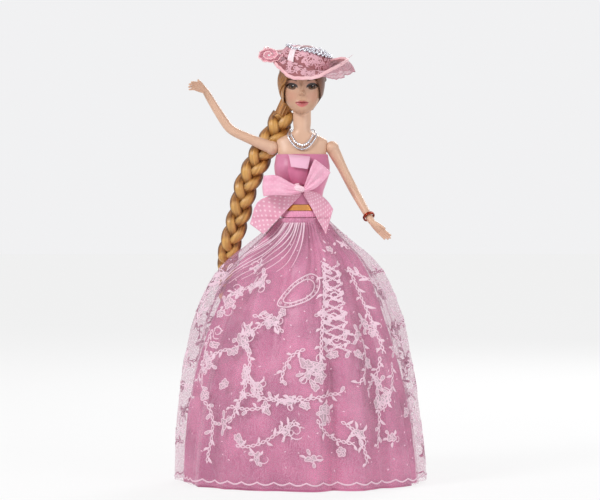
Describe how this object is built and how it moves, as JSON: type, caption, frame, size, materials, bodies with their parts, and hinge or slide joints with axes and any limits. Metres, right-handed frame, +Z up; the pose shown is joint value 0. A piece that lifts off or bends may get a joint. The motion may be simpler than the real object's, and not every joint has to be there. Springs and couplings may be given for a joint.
{
  "type": "fashion doll",
  "caption": "Fashion doll in a full-length layered ball gown with a ribbon bow, lace hat and long plait; its head turns, its arms swing and lift, and its legs swing at the hips.",
  "frame": {"origin": "on the floor under the middle of the gown's hem, which is the middle of the part's box", "axes": "+Z up through the doll's spine, -Y the way its face looks, +X to its own left"},
  "size_m": [0.1732, 0.1276, 0.3029],
  "materials": {
    "skin": "soft moulded vinyl, satin",
    "body": "hard moulded plastic, satin",
    "joint_plastic": "moulded plastic, satin",
    "pins": "brushed",
    "hair": "glossy synthetic fibre",
    "elastic": "matte elastic",
    "satin": "satin weave",
    "tulle": "sheer net with raised lace",
    "ribbon": "dotted satin ribbon",
    "belt_foil": "gold foil",
    "hat_lace": "lace over satin",
    "silver": "bright plated beads",
    "copper": "copper-coloured metal",
    "shoe_plastic": "glossy moulded plastic"
  },
  "bodies": {
    "torso": {"torso_front": "body", "torso_back": "body", "neck_knob": "joint_plastic", "hip_axle": "pins", "bodice": "satin", "bodice_placket": "satin", "belt": "belt_foil", "waistband": "satin", "skirt_satin": "satin", "skirt_tulle": "tulle", "bow_knot": "ribbon", "bow_cuff": "ribbon", "bow_loop_right": "ribbon", "bow_loop_left": "ribbon", "bow_tail_right": "ribbon", "bow_tail_left": "ribbon", "necklace": "silver", "plait": "hair", "plait_tie": "elastic", "plait_tuft": "hair"},
    "head": {"head": "skin", "hair_cap": "hair", "hat_crown": "hat_lace", "hat_brim": "hat_lace", "hat_beads": "silver", "hat_ribbon": "ribbon"},
    "hub_right": {"shoulder_hub_right": "joint_plastic", "shoulder_pin_right": "pins"},
    "hub_left": {"shoulder_hub_left": "joint_plastic", "shoulder_pin_left": "pins"},
    "arm_right": {"arm_right": "skin"},
    "arm_left": {"arm_left": "skin"},
    "bangle": {"bangle": "copper"},
    "leg_right": {"leg_right": "skin", "shoe_right": "shoe_plastic"},
    "leg_left": {"leg_left": "skin", "shoe_left": "shoe_plastic"}
  },
  "joints": [
    {"name": "neck_turn", "type": "hinge", "parent": "torso", "child": "head", "pos_m": [0, 0.0012, 0.2627], "axis": [0, 0, 1], "range_deg": [-80, 80], "deforming": ["plait"]},
    {"name": "shoulder_swing_right", "type": "hinge", "parent": "torso", "child": "hub_right", "pos_m": [-0.0206, 0, 0.2288], "axis": [1, 0, 0], "continuous": true},
    {"name": "shoulder_swing_left", "type": "hinge", "parent": "torso", "child": "hub_left", "pos_m": [0.0206, 0, 0.2288], "axis": [1, 0, 0], "continuous": true},
    {"name": "arm_raise_right", "type": "hinge", "parent": "hub_right", "child": "arm_right", "pos_m": [-0.0206, 0, 0.2288], "axis": [0, 1, 0], "range_deg": [-86, 25]},
    {"name": "arm_raise_left", "type": "hinge", "parent": "hub_left", "child": "arm_left", "pos_m": [0.0206, 0, 0.2288], "axis": [0, -1, 0], "range_deg": [-4, 112]},
    {"name": "bangle_turn", "type": "hinge", "parent": "arm_left", "child": "bangle", "pos_m": [0.04529, -0.01357, 0.182], "axis": [0.3934, -0.5843, -0.7098], "continuous": true},
    {"name": "hip_swing_right", "type": "hinge", "parent": "torso", "child": "leg_right", "pos_m": [-0.0097, 0, 0.152], "axis": [1, 0, 0], "range_deg": [-14, 14]},
    {"name": "hip_swing_left", "type": "hinge", "parent": "torso", "child": "leg_left", "pos_m": [0.0097, 0, 0.152], "axis": [1, 0, 0], "range_deg": [-14, 14]}
  ]
}
